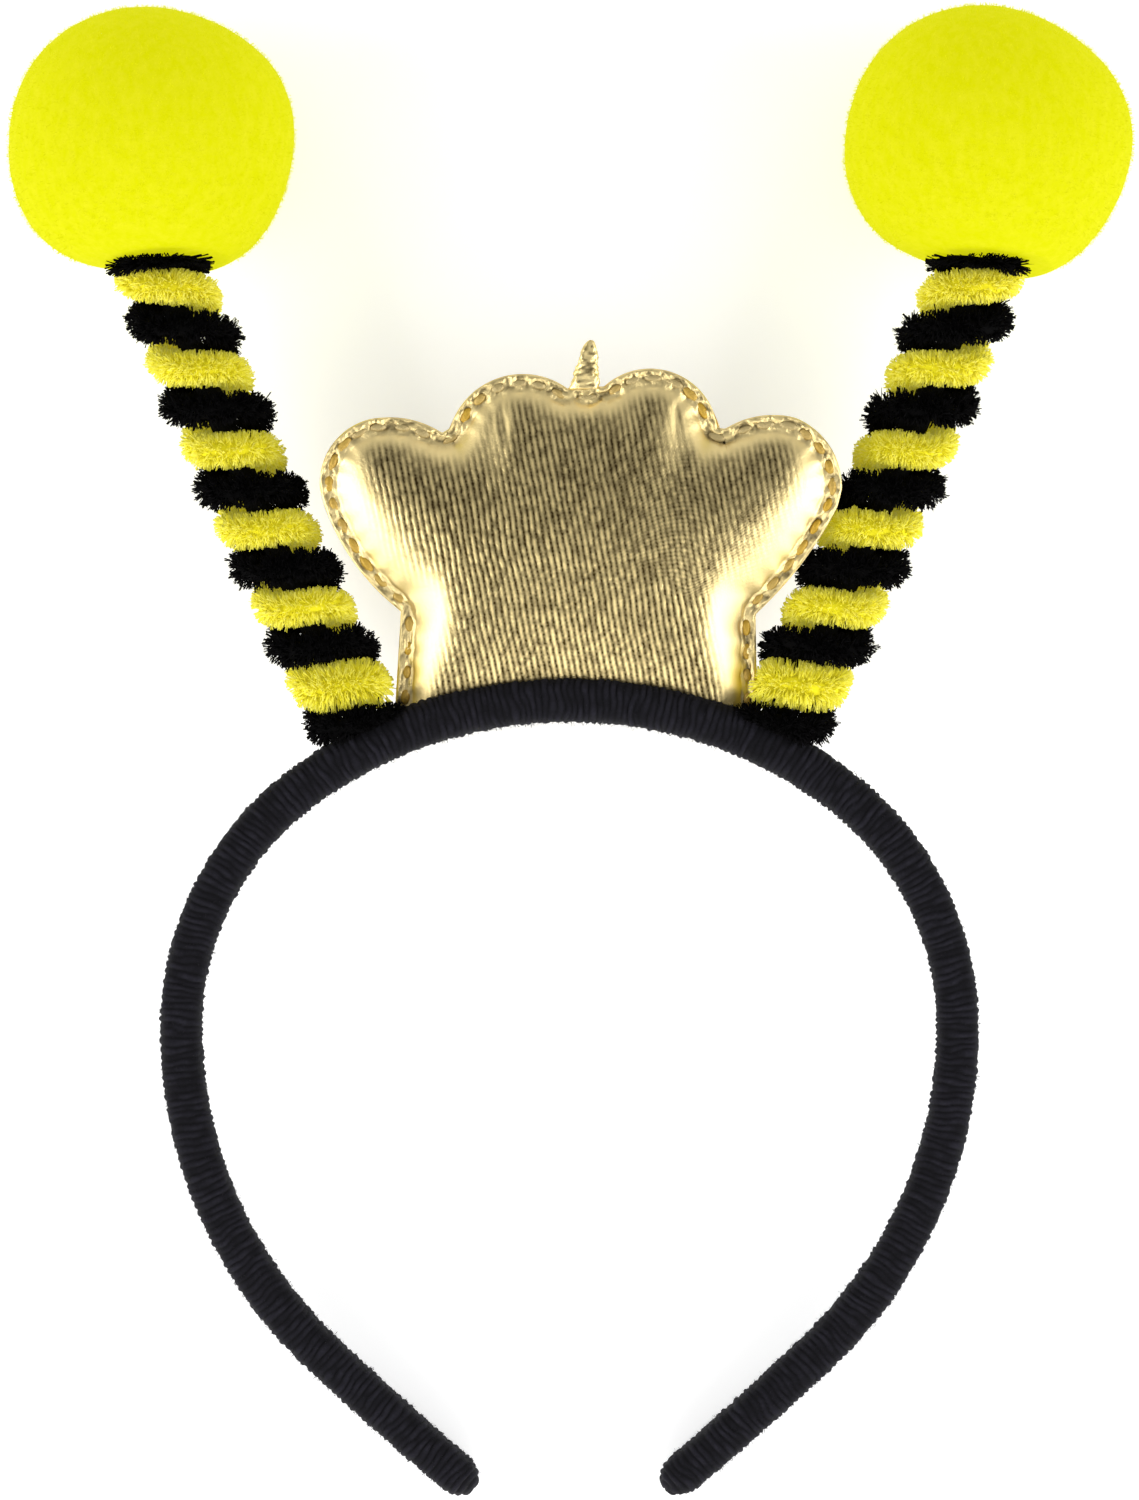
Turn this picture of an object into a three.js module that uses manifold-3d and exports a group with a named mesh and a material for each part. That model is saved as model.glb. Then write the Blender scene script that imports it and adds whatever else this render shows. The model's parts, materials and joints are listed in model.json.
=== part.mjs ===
// Bee antenna headband: a cloth-covered band for the head with a padded crown on its top and two wound
// stalks that each end in a soft ball. It lies on its back, on its balls and on the tips of its band.
// Millimetres. Pieces are drawn facing front, with X across the head, Y up it and Z out of its front,
// from the middle of the band's widest line, and are laid down together at the end.
import * as THREE from 'three';
import { mergeVertices } from 'three/addons/utils/BufferGeometryUtils.js';
import Module from 'manifold-3d';

const wasm = await Module();
wasm.setup();
const radians = THREE.MathUtils.degToRad;

// Clearance between pieces that touch, and the distance at which two points of a body are one
const GAP = 0.3;
const WELD = 1e-3;

// Band: its middle line runs from the top of the head to a tip in arcs that follow on from each other
const BAND_TOP = 58;
const BAND_DEPTH = 11;
const BAND_EDGE_RADIUS = 2.6;
const BAND_EDGE_STEPS = 3;
const BAND_STEPS = 51;
const BAND_ARCS = [
  { radius: 76, sweep: 37 },
  { radius: 51, sweep: 53.5 },
  { radius: 76, sweep: 46 },
  { radius: 560, sweep: 3.6 },
];
const BAND_WALL = [
  { share: 0, thickness: 8.1 },
  { share: 0.25, thickness: 7.6 },
  { share: 0.45, thickness: 7.2 },
  { share: 0.75, thickness: 7.5 },
  { share: 1, thickness: 7.0 },
];
const TIP_ROUNDING = 4.5;
const TIP_ANGLES = [27, 54, 76];

// Face that the crown and the stalks stand on: the outside of the band's top arc
const SEAT_CENTRE_Y = BAND_TOP - BAND_ARCS[0].radius;
const SEAT_RADIUS = BAND_ARCS[0].radius + BAND_WALL[0].thickness / 2;
const SEAT_SEGMENTS = 160;
const SLOT_SEGMENTS = 16;

// Crown: two panels sewn together round a flat edge, padded inside it and leaning forwards.
// Its outline runs clockwise from the foot of its left side, in arcs that meet at the notches.
const CROWN_FEET = { left: -29.8, right: 32 };
const TONGUE = { left: -26, right: 28, taper: 1, depth: 2.4 };
const CROWN_LEAN = 12;
const CROWN_CURVES = [
  { part: 'left flank', x: -5.2, y: 103.4, radius: 38.5, from: 232.5, to: 199 },
  { part: 'left lobe side', x: -31.1, y: 94.4, radius: 11.2, from: 184, to: 98 },
  { part: 'left lobe top', x: -30.3, y: 89.5, radius: 16.1, from: 92, to: 57 },
  { part: 'upper left lobe', x: -7.9, y: 100, radius: 12.9, from: 163, to: 54 },
  { part: 'upper right lobe', x: 13.6, y: 102.2, radius: 11.6, from: 132, to: 8 },
  { part: 'right lobe top', x: 34.4, y: 90.8, radius: 15.2, from: 122, to: 80 },
  { part: 'right lobe side', x: 33.5, y: 93.8, radius: 12.6, from: 68, to: -2 },
  { part: 'right flank', x: -11.5, y: 119.4, radius: 63.8, from: -27, to: -47.5 },
];
const CROWN_ARC_STEPS = 4;
const CROWN_MIDDLE = { x: 1.5, y: 88 };
const SEAM_WIDTH = 3;
const SEAM_FOOT = { height: 0.9, share: 0.9, depth: 0.35 };
const PANEL_THICKNESS = 0.75;
const PUFF = { front: 6.8, back: 4.2, rings: 5, spread: 1.5, edge: 2.1, roundness: 0.95 };
const CREST = { halfWidth: 20, halfHeight: 13, rise: 1.04 };
const CORNER_LIMIT = 0.5;
const TAIL = { left: 0, right: 5, foot: 111.05, top: 118.6, lean: 1.1, thickness: 2.6, taper: 0.45 };
const TAIL_SIDES = 8;
const TAIL_RINGS = 4;

// Stalks: each post leans out from the band along a gentle arc, and ends inside its ball
const STALK = { footX: 35.6, lean: 26.6, bend: 6, coilTop: 86.4 };
const CORE = { radius: 2.2, sides: 10, steps: 10, footDepth: 3.4, headDepth: 13 };

// Chenille: a black and a yellow strand wound side by side round each post, closing up below the ball
const COIL = { start: 0.5, lead: 14.3, closing: 0.25, closingFrom: 4, frontTurn: 0.25 };
const STRAND_SIDES = 7;
const STRAND_STEPS_A_TURN = 12;
const STRANDS = {
  black: { turnRadius: 6.1, radius: 2.7, phase: 0, firstTurn: -0.35, lastTurn: 6.08, colour: 0x0b0a0c },
  yellow: { turnRadius: 5.35, radius: 2.7, phase: 0.5, firstTurn: 0.22, lastTurn: 5.6, colour: 0xdfd52e },
};

// Balls: soft, a little lumpy round their outline, set back from the stalks and pressed flat on the coils
const BALL = { x: 71.4, y: 152.9, z: -5, radius: 23.95, columns: 24, rows: 16 };
const BALL_LUMPS = {
  left: [
    { waves: 2, size: 0.78, phase: -7 },
    { waves: 3, size: 0.21, phase: -91 },
    { waves: 4, size: 0.5, phase: 144 },
    { waves: 5, size: 0.21, phase: 71 },
  ],
  right: [
    { waves: 2, size: 0.71, phase: -26 },
    { waves: 3, size: 0.17, phase: -115 },
    { waves: 4, size: 0.43, phase: 98 },
    { waves: 5, size: 0.19, phase: 13 },
  ],
};

const FINISH = {
  cloth: { color: 0x1d1c22, roughness: 0.95, metalness: 0 },
  gold: { color: 0xc9b065, roughness: 0.35, metalness: 0.9 },
  post: { color: 0x2a2826, roughness: 0.8, metalness: 0 },
  ball: { color: 0xedee10, roughness: 0.9, metalness: 0 },
  pile: { roughness: 1, metalness: 0 },
};

// Closed body of a geometry, ready to be joined and cut
function bodyOf(geometry) {
  const bare = geometry.clone();
  bare.deleteAttribute('normal');
  bare.deleteAttribute('uv');
  const merged = mergeVertices(bare, WELD);
  const vertProperties = merged.attributes.position.array;
  const triVerts = Uint32Array.from(merged.index.array);
  return new wasm.Manifold(new wasm.Mesh({ numProp: 3, vertProperties, triVerts }));
}

function geometryOf(body) {
  const { vertProperties, triVerts } = body.getMesh();
  const geometry = new THREE.BufferGeometry();
  geometry.setAttribute('position', new THREE.Float32BufferAttribute(vertProperties, 3));
  geometry.setIndex([...triVerts]);
  return geometry;
}

function cut(geometry, ...tools) {
  return geometryOf(tools.reduce((body, tool) => body.subtract(bodyOf(tool)), bodyOf(geometry)));
}

function middleOf(ring) {
  return ring.reduce((sum, point) => sum.add(point), new THREE.Vector3()).divideScalar(ring.length);
}

// Closed skin over rings of points, with a fan over each end ring from a point in the middle of it.
// Each ring turns anticlockwise as seen from the last ring.
function skin(rings, firstEnd = middleOf(rings[0]), lastEnd = middleOf(rings.at(-1))) {
  const count = rings[0].length;
  const lastRing = (rings.length - 1) * count;
  const points = [...rings.flat(), firstEnd, lastEnd];
  const firstMiddle = points.length - 2;
  const lastMiddle = points.length - 1;
  const faces = [];
  for (let k = 0; k < count; k += 1) {
    const next = (k + 1) % count;
    faces.push(firstMiddle, next, k);
    for (let ring = 0; ring < lastRing; ring += count) {
      faces.push(ring + k, ring + next, ring + count + next);
      faces.push(ring + k, ring + count + next, ring + count + k);
    }
    faces.push(lastMiddle, lastRing + k, lastRing + next);
  }
  const geometry = new THREE.BufferGeometry().setFromPoints(points);
  geometry.setIndex(faces);
  return geometry;
}

// Round tube along a curve given as a function of length
function tube(line, from, to, radius, sides, steps) {
  const path = new THREE.Curve();
  path.getPoint = (t) => line(THREE.MathUtils.lerp(from, to, t));
  const corners = Array.from({ length: sides }, (_, k) => {
    const angle = (2 * Math.PI * k) / sides;
    return new THREE.Vector2(radius * Math.cos(angle), radius * Math.sin(angle));
  });
  return new THREE.ExtrudeGeometry(new THREE.Shape(corners), { extrudePath: path, steps });
}

// Middle line of the band at a length from its top, to the right if positive: place and turn from level
function bandLine(length) {
  const place = new THREE.Vector2(0, BAND_TOP);
  let turned = 0;
  let left = Math.abs(length);
  for (const { radius, sweep } of BAND_ARCS) {
    const turn = Math.min(left / radius, radians(sweep));
    place.x += radius * (Math.sin(turned + turn) - Math.sin(turned));
    place.y += radius * (Math.cos(turned + turn) - Math.cos(turned));
    turned += turn;
    left -= radius * turn;
  }
  const side = Math.sign(length);
  return { x: side * place.x, y: place.y, turned: side * turned };
}

function bandThickness(share) {
  const above = Math.max(1, BAND_WALL.findIndex((row) => row.share >= share));
  const [low, high] = [BAND_WALL[above - 1], BAND_WALL[above]];
  return THREE.MathUtils.mapLinear(share, low.share, high.share, low.thickness, high.thickness);
}

const BAND_HALF_LENGTH = BAND_ARCS.reduce((sum, { radius, sweep }) => sum + radius * radians(sweep), 0);

// Ring of the band: a rectangle with rounded corners, square to the middle line
function bandRing({ length, shrink }) {
  const { x, y, turned } = bandLine(length);
  const out = (shrink * bandThickness(Math.abs(length) / BAND_HALF_LENGTH)) / 2;
  const front = (shrink * BAND_DEPTH) / 2;
  const corner = shrink * BAND_EDGE_RADIUS;
  const ring = [];
  for (const quarter of [0, 1, 2, 3]) {
    const signOut = quarter === 0 || quarter === 3 ? 1 : -1;
    const signFront = quarter < 2 ? 1 : -1;
    for (let step = 0; step <= BAND_EDGE_STEPS; step += 1) {
      const angle = radians(90 * (quarter + step / BAND_EDGE_STEPS));
      const outwards = signOut * (out - corner) + corner * Math.cos(angle);
      const forwards = signFront * (front - corner) + corner * Math.sin(angle);
      const place = new THREE.Vector3(Math.sin(turned), Math.cos(turned), 0).multiplyScalar(outwards);
      ring.push(place.add(new THREE.Vector3(x, y, forwards)));
    }
  }
  return ring;
}

// Stations along the band, with a level stretch across the top and tips that round off
const TIP_START = BAND_HALF_LENGTH - TIP_ROUNDING;

function bandBlank() {
  const stations = [];
  for (let step = 0; step <= BAND_STEPS; step += 1) {
    stations.push({ length: TIP_START * ((2 * step) / BAND_STEPS - 1), shrink: 1 });
  }
  for (const degrees of TIP_ANGLES) {
    const length = TIP_START + TIP_ROUNDING * Math.sin(radians(degrees));
    const shrink = Math.cos(radians(degrees));
    stations.unshift({ length: -length, shrink });
    stations.push({ length, shrink });
  }
  return skin(stations.map(bandRing));
}

// Middle line of a stalk at a length from the seat, and its lean there
const STALK_FOOT_Y = SEAT_CENTRE_Y + Math.sqrt(SEAT_RADIUS ** 2 - STALK.footX ** 2);
const STALK_RADIUS = STALK.coilTop / radians(STALK.bend);

function stalkLean(length) {
  return radians(STALK.lean) - length / STALK_RADIUS;
}

function stalkLine(side, length) {
  const foot = stalkLean(0);
  const lean = stalkLean(length);
  const x = STALK.footX + STALK_RADIUS * (Math.cos(lean) - Math.cos(foot));
  const y = STALK_FOOT_Y + STALK_RADIUS * (Math.sin(foot) - Math.sin(lean));
  return new THREE.Vector3(side * x, y, 0);
}

function stalkTube(side, from, to, radius) {
  return tube((length) => stalkLine(side, length), from, to, radius, CORE.sides, CORE.steps);
}

// Strand of chenille: a helix whose turns pass the front at whole numbers, and drift outwards as they rise
function strandTube(side, { turnRadius, radius, phase, firstTurn, lastTurn }) {
  const line = (turns) => {
    const closing = COIL.closing * Math.max(0, turns - COIL.closingFrom) ** 3;
    const length = COIL.start + COIL.lead * turns - closing;
    const angle = 2 * Math.PI * (COIL.frontTurn - turns + phase);
    const lean = stalkLean(length);
    const outwards = new THREE.Vector3(side * Math.cos(lean), -Math.sin(lean), 0);
    const place = stalkLine(side, length).addScaledVector(outwards, turnRadius * Math.cos(angle));
    return place.setZ(turnRadius * Math.sin(angle));
  };
  const steps = Math.round((lastTurn - firstTurn) * STRAND_STEPS_A_TURN);
  return tube(line, firstTurn, lastTurn, radius, STRAND_SIDES, steps);
}

// Ball: lumps run round its outline and fade towards its front and back. Its flat faces the coil's top.
function ballBlank(side, lumps) {
  const centre = new THREE.Vector3(side * BALL.x, BALL.y, BALL.z);
  const toCoil = stalkLine(side, STALK.coilTop).sub(centre);
  const flat = toCoil.length();
  toCoil.normalize();
  const turn = new THREE.Quaternion().setFromUnitVectors(new THREE.Vector3(0, -1, 0), toCoil);
  const geometry = new THREE.SphereGeometry(1, BALL.columns, BALL.rows).applyQuaternion(turn);
  const { position } = geometry.attributes;
  for (let k = 0; k < position.count; k += 1) {
    const way = new THREE.Vector3().fromBufferAttribute(position, k).normalize();
    const round = Math.atan2(way.y, way.x);
    const rim = Math.hypot(way.x, way.y);
    const radius = lumps.reduce((sum, { waves, size, phase }) => {
      return sum + size * rim ** waves * Math.cos(waves * round - radians(phase));
    }, BALL.radius);
    const facing = way.dot(toCoil);
    way.multiplyScalar(facing * radius > flat ? flat / facing : radius).add(centre);
    position.setXYZ(k, way.x, way.y, way.z);
  }
  return geometry;
}

// Point on a circle round the seat's centre, at a distance across the head
function onSeat(x, radius) {
  return { x, y: SEAT_CENTRE_Y + Math.sqrt(radius ** 2 - x ** 2) };
}

// Outline of the crown, anticlockwise: its lobes, its feet on the seat and the tongue inside the band
function crownOutline() {
  const footRadius = SEAT_RADIUS + GAP;
  const tongueRadius = SEAT_RADIUS - TONGUE.depth;
  const angleAt = (x) => Math.acos(x / tongueRadius);
  const tongueEnds = [angleAt(TONGUE.right - TONGUE.taper), angleAt(TONGUE.left + TONGUE.taper)];
  const outline = new THREE.Shape();
  const lineTo = ({ x, y }) => outline.lineTo(x, y);
  const start = onSeat(TONGUE.left, footRadius);
  outline.moveTo(start.x, start.y);
  lineTo(onSeat(CROWN_FEET.left, footRadius));
  for (const { x, y, radius, from, to } of CROWN_CURVES) {
    outline.absarc(x, y, radius, radians(from), radians(to), true);
  }
  lineTo(onSeat(CROWN_FEET.right, footRadius));
  lineTo(onSeat(TONGUE.right, footRadius));
  outline.absarc(0, SEAT_CENTRE_Y, tongueRadius, ...tongueEnds, false);
  return outline.getPoints(CROWN_ARC_STEPS).reverse();
}

// The same outline moved in by a width, each point along the line that halves its corner
function movedIn(points, width) {
  const across = (from, to) => new THREE.Vector2(from.y - to.y, to.x - from.x).normalize();
  return points.map((point, k) => {
    const before = across(points.at(k - 1), point);
    const after = across(point, points[(k + 1) % points.length]);
    const halfway = before.clone().add(after).normalize();
    return halfway.multiplyScalar(width / Math.max(CORNER_LIMIT, halfway.dot(before))).add(point);
  });
}

function heightOnSeat({ x, y }) {
  return Math.hypot(x, y - SEAT_CENTRE_Y) - SEAT_RADIUS;
}

// Leaning forwards: a point moves to the front by its height above the band
function leanForwards(point, forwards) {
  const moved = Math.max(0, heightOnSeat(point)) * Math.tan(radians(CROWN_LEAN));
  return new THREE.Vector3(point.x, point.y, forwards + moved);
}

function leaned(points, forwards) {
  return points.map((point) => leanForwards(point, forwards));
}

// Panel of the crown, towards the front if face is 1 and towards the back if it is -1:
// a flat sewn edge, then rings that close on an oval crest as the padding swells. Where it goes into the
// band it isn't sewn flat, so there the padding has some depth from the start.
const PANEL_INSIDE = GAP / 2;
const PANEL_OUTSIDE = PANEL_INSIDE + PANEL_THICKNESS;

function crownPanel(face, puff) {
  const edge = crownOutline();
  const seam = movedIn(edge, SEAM_WIDTH).map((point, k) => {
    const onFoot = heightOnSeat(edge[k]) < 2 * GAP;
    return onFoot ? onSeat(edge[k].x * SEAM_FOOT.share, SEAT_RADIUS + SEAM_FOOT.height) : point;
  });
  const crest = seam.map(({ x, y }) => {
    const across = (x - CROWN_MIDDLE.x) / CREST.halfWidth;
    const up = (y - CROWN_MIDDLE.y) / CREST.halfHeight;
    const shrink = 1 / Math.hypot(across, up);
    return {
      x: CROWN_MIDDLE.x + CREST.halfWidth * across * shrink,
      y: CROWN_MIDDLE.y + CREST.halfHeight * up * shrink,
    };
  });
  const rings = [
    leaned(edge, face * PANEL_INSIDE),
    leaned(edge, face * PANEL_OUTSIDE),
    leaned(seam, face * PANEL_OUTSIDE),
  ];
  const shares = Array.from({ length: PUFF.rings }, (_, k) => ((k + 1) / PUFF.rings) ** PUFF.spread);
  for (const share of shares) {
    rings.push(seam.map((point, n) => {
      const inBand = heightOnSeat(edge[n]) < 0;
      const inwards = inBand ? (share - shares[0]) / (1 - shares[0]) : share;
      const depth = inBand ? THREE.MathUtils.lerp(SEAM_FOOT.depth, 1, inwards) : share;
      const x = THREE.MathUtils.lerp(point.x, crest[n].x, inwards);
      const y = THREE.MathUtils.lerp(point.y, crest[n].y, inwards);
      const swell = puff * (1 - (1 - depth) ** PUFF.edge) ** PUFF.roundness;
      return leanForwards({ x, y }, face * (PANEL_OUTSIDE + swell));
    }));
  }
  const heights = [PANEL_INSIDE, PANEL_OUTSIDE + CREST.rise * puff];
  const ends = heights.map((height) => leanForwards(CROWN_MIDDLE, face * height));
  return face > 0 ? skin(rings, ...ends) : skin(rings.reverse(), ...ends.reverse());
}

// Sewn edge of the crown with a clearance all round it, which presses the pile beside it
function crownPress() {
  const edge = movedIn(crownOutline(), -GAP);
  const reach = PANEL_OUTSIDE + GAP;
  const ends = [-reach, reach].map((height) => leanForwards(CROWN_MIDDLE, height));
  return skin([leaned(edge, -reach), leaned(edge, reach)], ...ends);
}

// Small tail of cloth that stands up from the dip between the upper lobes, and tapers as it rises
function crownTip() {
  const { left, right, foot, top, lean, thickness, taper } = TAIL;
  const levels = Array.from({ length: TAIL_RINGS }, (_, k) => k / TAIL_RINGS);
  return skin(levels.map((rise) => {
    const halfSize = (1 - rise) ** taper / 2;
    const y = THREE.MathUtils.lerp(foot, top, rise);
    const x = (left + right) / 2 + lean * rise;
    return Array.from({ length: TAIL_SIDES }, (_, k) => {
      const angle = (-2 * Math.PI * k) / TAIL_SIDES;
      const across = halfSize * (right - left) * Math.cos(angle);
      const forwards = halfSize * thickness * Math.sin(angle);
      return leanForwards({ x: x + across, y }, forwards);
    });
  }));
}

// Slot in the band for the crown's tongue
function crownSlot() {
  const innerRadius = SEAT_RADIUS - TONGUE.depth - GAP;
  const outerRadius = SEAT_RADIUS + TONGUE.depth;
  const right = Math.acos((TONGUE.right + 2 * GAP) / innerRadius);
  const left = Math.acos((TONGUE.left - 2 * GAP) / innerRadius);
  const sector = new THREE.Shape();
  sector.absarc(0, SEAT_CENTRE_Y, outerRadius, right, left, false);
  sector.absarc(0, SEAT_CENTRE_Y, innerRadius, left, right, true);
  const halfWidth = PANEL_OUTSIDE + GAP;
  const settings = { depth: 2 * halfWidth, bevelEnabled: false, curveSegments: SLOT_SEGMENTS };
  return new THREE.ExtrudeGeometry(sector, settings).translate(0, 0, -halfWidth);
}

// Round block inside the seat, which presses the foot of a coil flat against the band
function seatBlock() {
  const radius = SEAT_RADIUS + GAP;
  const block = new THREE.CylinderGeometry(radius, radius, 4 * BAND_DEPTH, SEAT_SEGMENTS);
  return block.rotateX(Math.PI / 2).translate(0, SEAT_CENTRE_Y, 0);
}

const facingFront = new THREE.Group();

function addPiece(name, geometry, finish) {
  const mesh = new THREE.Mesh(geometry, new THREE.MeshStandardMaterial(finish));
  mesh.name = name;
  facingFront.add(mesh);
}

const SIDES = { left: -1, right: 1 };
const SOCKET_RADIUS = CORE.radius + GAP;
const CORE_HEAD = STALK.coilTop + CORE.headDepth;
const sockets = Object.values(SIDES).map((side) => {
  return stalkTube(side, -CORE.footDepth - GAP, BAND_DEPTH, SOCKET_RADIUS);
});
addPiece('band', cut(bandBlank(), crownSlot(), ...sockets), FINISH.cloth);
addPiece('crown_front', crownPanel(1, PUFF.front), FINISH.gold);
addPiece('crown_back', crownPanel(-1, PUFF.back), FINISH.gold);
addPiece('crown_tip', crownTip(), FINISH.gold);

for (const [name, side] of Object.entries(SIDES)) {
  addPiece(`${name}_stalk_core`, stalkTube(side, -CORE.footDepth, CORE_HEAD, CORE.radius), FINISH.post);
  for (const [colour, strand] of Object.entries(STRANDS)) {
    const pressed = cut(strandTube(side, strand), seatBlock(), crownPress());
    addPiece(`${name}_${colour}_chenille`, pressed, { ...FINISH.pile, color: strand.colour });
  }
  const bore = stalkTube(side, STALK.coilTop - CORE.headDepth, CORE_HEAD + GAP, SOCKET_RADIUS);
  addPiece(`${name}_ball`, cut(ballBlank(side, BALL_LUMPS[name]), bore), FINISH.ball);
}

// Laid on its back: tipped until the balls and the tips of the band touch the floor together
const restLength = BALL.y - bandLine(TIP_START).y;
facingFront.rotation.x = Math.asin((BALL.radius - BALL.z - BAND_DEPTH / 2) / restLength);
const headband = new THREE.Group();
headband.add(facingFront);
const laid = new THREE.Box3().setFromObject(headband, true);
facingFront.position.copy(laid.getCenter(new THREE.Vector3()).setZ(laid.min.z)).negate();

export default headband;
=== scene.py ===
import json

import bpy
import numpy as np
from mathutils import Matrix, Vector


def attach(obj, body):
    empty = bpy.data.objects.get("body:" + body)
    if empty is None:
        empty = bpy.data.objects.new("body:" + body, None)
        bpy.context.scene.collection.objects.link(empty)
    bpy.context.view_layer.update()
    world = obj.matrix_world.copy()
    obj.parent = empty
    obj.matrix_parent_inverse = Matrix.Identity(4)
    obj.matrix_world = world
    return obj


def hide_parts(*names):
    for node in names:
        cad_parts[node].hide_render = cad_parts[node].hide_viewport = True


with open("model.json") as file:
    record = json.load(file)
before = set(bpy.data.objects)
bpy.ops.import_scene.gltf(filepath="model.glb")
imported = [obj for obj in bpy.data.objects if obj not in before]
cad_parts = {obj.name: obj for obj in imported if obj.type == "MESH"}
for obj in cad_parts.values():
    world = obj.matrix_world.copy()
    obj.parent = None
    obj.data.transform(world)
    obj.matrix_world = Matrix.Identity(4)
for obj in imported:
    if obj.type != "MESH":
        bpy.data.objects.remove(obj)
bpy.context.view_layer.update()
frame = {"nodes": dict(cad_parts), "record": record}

# Band: a springy plastic hoop that stays open between its tips, in a tight sleeve of black knit.
# The ribs of the knit run across the hoop, and short loose hairs of yarn stand out of them.
MM = 0.001
SEAT = frame["record"]["mounts"][0]
SEAT_HEIGHT = 53.884
ACROSS = np.array((1.0, 0.0, 0.0))
UP = -np.array(SEAT["axis"])
FORWARDS = np.cross(ACROSS, UP)
MIDDLE = np.array(SEAT["pos_m"]) - SEAT_HEIGHT * MM * UP


def laid(points):
    """Places in metres of points given in millimetres across the head, up it and out of its front, from the
    middle of the band's widest line: the sum of the three distances along the three ways. The floor presses
    what would go below it flat."""
    placed = MIDDLE + MM * (points @ np.stack([ACROSS, UP, FORWARDS]))
    placed[..., 2] = np.maximum(placed[..., 2], 0)
    return placed


def unit(vectors):
    """Vectors divided by their own lengths."""
    return vectors / np.linalg.norm(vectors, axis=-1, keepdims=True)


def eased(values, low, high):
    """0 below low and 1 above high, with an eased passage between them."""
    share = np.clip((values - low) / (high - low), 0, 1)
    return share * share * (3 - 2 * share)


def mottle(x, y, seed, cells=509):
    """Smooth noise from -1 to 1 whose cells are 1 wide: random values at the corners of the cells, with an
    eased passage from corner to corner."""
    values = np.random.default_rng(seed).uniform(-1, 1, (cells, cells))
    x, y = np.broadcast_arrays(x, y)
    column, row = np.floor(x).astype(int), np.floor(y).astype(int)
    across, up = eased(x - column, 0, 1), eased(y - row, 0, 1)
    column, after, row, above = column % cells, (column + 1) % cells, row % cells, (row + 1) % cells
    low = values[column, row] * (1 - across) + values[after, row] * across
    high = values[column, above] * (1 - across) + values[after, above] * across
    return low * (1 - up) + high * up


def grid_faces(rows, columns, closed):
    """Four-cornered faces between neighbours on a grid of points, row by row. A closed grid joins its last
    column to its first."""
    number = np.arange(rows * columns).reshape(rows, columns)
    after = np.roll(number, -1, axis=1)
    faces = np.stack([number[:-1], after[:-1], after[1:], number[1:]], axis=-1)
    return (faces if closed else faces[:, :-1]).reshape(-1, 4)


def skin_faces(rows, columns):
    """Faces of a closed skin: a grid that is closed round, and a fan from a middle point over each end.
    The two middle points follow the points of the grid, the first row's first."""
    first = np.arange(columns)
    after = np.roll(first, -1)
    last = (rows - 1) * columns
    low = np.stack([np.full(columns, rows * columns), after, first], axis=-1)
    high = np.stack([np.full(columns, rows * columns + 1), first + last, after + last], axis=-1)
    return [grid_faces(rows, columns, True), low, high]


def fibres(roots, tips, half_width, seed):
    """Points and faces of cut fibres: each is a sliver with a short edge across its root and another across
    its tip, at right angles to the first, so it has about the same width all along."""
    along = unit(tips - roots)
    aside = unit(np.cross(along, np.random.default_rng(seed).normal(size=along.shape)))
    half_width = np.broadcast_to(half_width, len(roots))[:, None]
    aside, other = half_width * aside, half_width * np.cross(along, aside)
    ends = np.stack([roots - aside, roots + aside, tips - other, tips + other], axis=1)
    corners = np.array(((0, 1, 2), (0, 3, 1), (1, 3, 2), (0, 2, 3)))
    faces = 4 * np.arange(len(roots))[:, None, None] + corners
    return ends.reshape(-1, 3), faces.reshape(-1, 3)


def new_piece(name, points, faces, finish, slot, stands_for=(), smooth=True, **values):
    """A mesh object at the origin, from points in millimetres and lists of faces, with values kept at its
    points. It rides on the headband's one body, and stands for the solids that are named."""
    mesh = bpy.data.meshes.new(name)
    corners = np.concatenate([group.ravel() for group in faces])
    counts = np.concatenate([np.full(len(group), group.shape[1]) for group in faces])
    mesh.vertices.add(len(points))
    mesh.vertices.foreach_set("co", laid(points).ravel())
    mesh.loops.add(len(corners))
    mesh.loops.foreach_set("vertex_index", corners)
    mesh.polygons.add(len(counts))
    mesh.polygons.foreach_set("loop_start", np.cumsum(counts) - counts)
    mesh.polygons.foreach_set("use_smooth", np.full(len(counts), smooth))
    for key, value in values.items():
        kept = mesh.attributes.new(key, "FLOAT", "POINT")
        kept.data.foreach_set("value", np.ravel(value).astype(np.float32))
    mesh.update(calc_edges=True)
    mesh.validate()
    mesh.materials.append(finish)
    made = bpy.data.objects.new(name, mesh)
    bpy.context.scene.collection.objects.link(made)
    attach(made, "root")
    if stands_for:
        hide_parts(*stands_for)
    return made


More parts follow.
